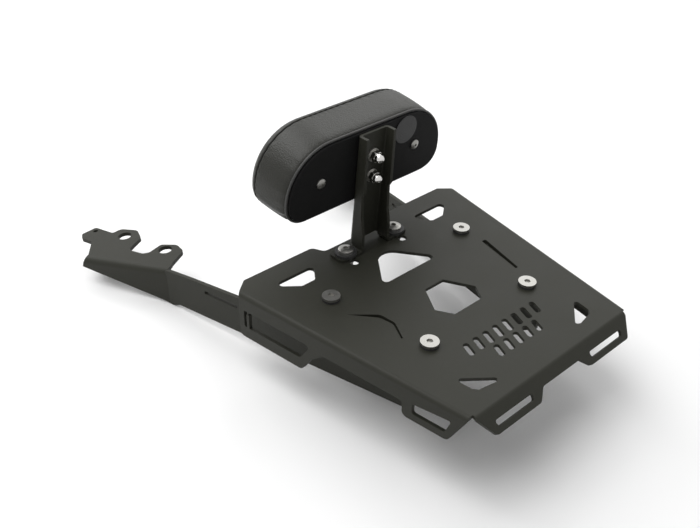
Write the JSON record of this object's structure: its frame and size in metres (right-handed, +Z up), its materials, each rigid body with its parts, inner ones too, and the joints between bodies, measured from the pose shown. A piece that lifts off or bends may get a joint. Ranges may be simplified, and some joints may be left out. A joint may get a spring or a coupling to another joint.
{
  "type": "motorcycle luggage rack with passenger backrest",
  "caption": "Bent sheet-metal luggage rack on two side arms, with strap loops and a padded passenger backrest on a channel post.",
  "frame": {"origin": "top face of the deck on the plate's centre line, midway between the two spare backrest holes", "axes": "+X to the vehicle's right, +Y towards the vehicle's front, +Z up; the picture is seen from the left rear, from above"},
  "size_m": [0.3702, 0.5083, 0.2123],
  "materials": {
    "black_coat": "matt black powder coat",
    "bolt_steel": "satin stainless steel",
    "bolt_chrome": "polished",
    "black_washer": "matt black",
    "pad_board": "satin black board",
    "pad_cover": "black artificial leather",
    "pad_piping": "black welt",
    "badge": "plain disc"
  },
  "bodies": {
    "root": {"rack_plate": "black_coat", "arm_left": "black_coat", "arm_right": "black_coat", "backrest_post": "black_coat", "arm_bolts": "bolt_steel", "arm_bolt_spacers": "black_washer", "arm_nuts": "bolt_steel", "arm_nut_washers": "bolt_steel", "post_bolts": "bolt_steel", "post_bolt_washers": "black_washer", "post_nuts": "bolt_steel", "post_nut_washers": "bolt_steel", "pad_back_board": "pad_board", "pad_cushion": "pad_cover", "pad_piping": "pad_piping", "pad_screws": "bolt_steel", "pad_badge": "badge", "pad_studs": "bolt_steel", "pad_washers": "bolt_steel", "pad_dome_nuts": "bolt_chrome", "pad_inserts": "bolt_steel"}
  },
  "joints": []
}
